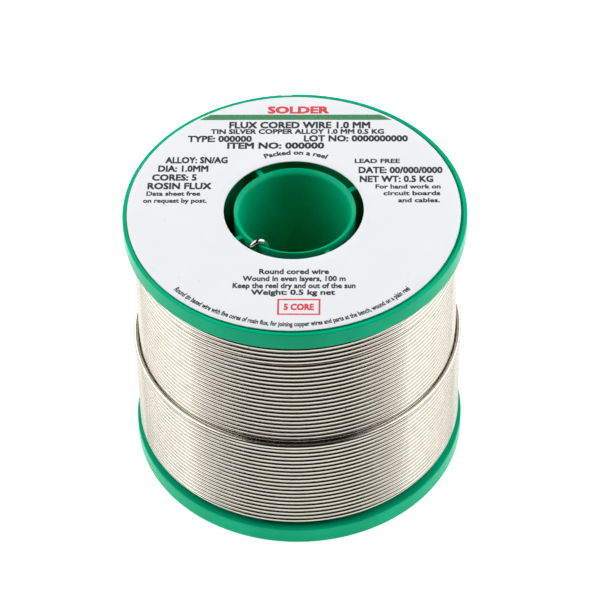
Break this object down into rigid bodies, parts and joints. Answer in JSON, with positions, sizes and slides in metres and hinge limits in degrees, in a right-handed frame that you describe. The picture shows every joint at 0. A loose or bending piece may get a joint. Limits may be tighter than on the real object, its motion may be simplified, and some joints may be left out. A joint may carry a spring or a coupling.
{
  "type": "solder wire spool",
  "caption": "Moulded plastic spool wound with flux-cored solder wire, with a paper label on the top flange and an open spindle bore.",
  "frame": {"origin": "middle of the face that the spool stands on", "axes": "+Z along the spindle axis, up through the labelled flange; -Y is the side the label is read from"},
  "size_m": [0.061, 0.061, 0.0564],
  "materials": {
    "spool_plastic": "injection moulded, semi-gloss green",
    "solder_wire": null,
    "label_paper": null
  },
  "bodies": {
    "root": {"moulded_spool": "spool_plastic", "wire_inner_layers": "solder_wire", "wire_outer_layer": "solder_wire", "wire_part_layer": "solder_wire", "wire_last_turn": "solder_wire", "wire_start_tail": "solder_wire", "top_label": "label_paper"}
  },
  "joints": []
}
